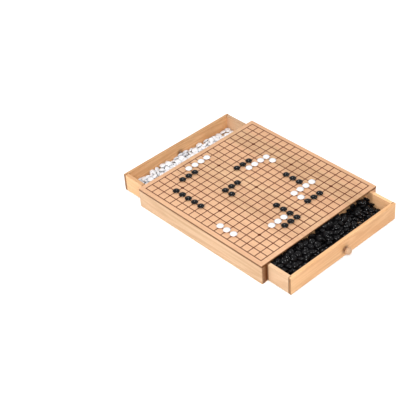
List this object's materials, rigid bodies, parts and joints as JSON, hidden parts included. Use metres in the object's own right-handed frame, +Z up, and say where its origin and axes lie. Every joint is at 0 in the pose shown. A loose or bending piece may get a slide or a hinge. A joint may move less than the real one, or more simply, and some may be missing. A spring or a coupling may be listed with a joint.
{
  "type": "go board with stone drawers",
  "caption": "Flat wooden go board on a shallow case with sliding stone drawers front and back, black and white lens-shaped stones in them and on the grid.",
  "frame": {"origin": "centre of the case's underside, on the table", "axes": "+Z up; -Y towards the front drawer with the black stones, +Y towards the back drawer with the white stones; +X to the right as seen from the front"},
  "size_m": [0.288, 0.4437, 0.0455],
  "materials": {
    "board_wood": "satin lacquer, dark brown cut lines",
    "case_wood": "satin lacquer",
    "drawer_wood": "satin lacquer",
    "panel_wood": "plain thin panel",
    "knob_wood": "turned and lacquered",
    "screw_steel": "darkened steel",
    "black_stone": "polished",
    "white_stone": "polished"
  },
  "bodies": {
    "case": {"playing_board": "board_wood", "left_side_wall": "case_wood", "right_side_wall": "case_wood", "case_bottom": "panel_wood", "front_cross_rail": "case_wood", "back_cross_rail": "case_wood", "black_stones_in_play": "black_stone", "white_stones_in_play": "white_stone"},
    "front_drawer": {"front_drawer_front": "drawer_wood", "front_drawer_back": "drawer_wood", "front_drawer_left_side": "drawer_wood", "front_drawer_right_side": "drawer_wood", "front_drawer_floor": "panel_wood", "front_drawer_knob": "knob_wood", "front_drawer_knob_screw": "screw_steel", "black_stones_in_drawer": "black_stone"},
    "back_drawer": {"back_drawer_front": "drawer_wood", "back_drawer_back": "drawer_wood", "back_drawer_left_side": "drawer_wood", "back_drawer_right_side": "drawer_wood", "back_drawer_floor": "panel_wood", "back_drawer_knob": "knob_wood", "back_drawer_knob_screw": "screw_steel", "white_stones_in_drawer": "white_stone"}
  },
  "joints": [
    {"name": "front_drawer_slide", "type": "slide", "parent": "case", "child": "front_drawer", "axis": [0, -1, 0], "range_m": [-0.0535, 0.0065]},
    {"name": "back_drawer_slide", "type": "slide", "parent": "case", "child": "back_drawer", "axis": [0, 1, 0], "range_m": [-0.057, 0.003]}
  ]
}
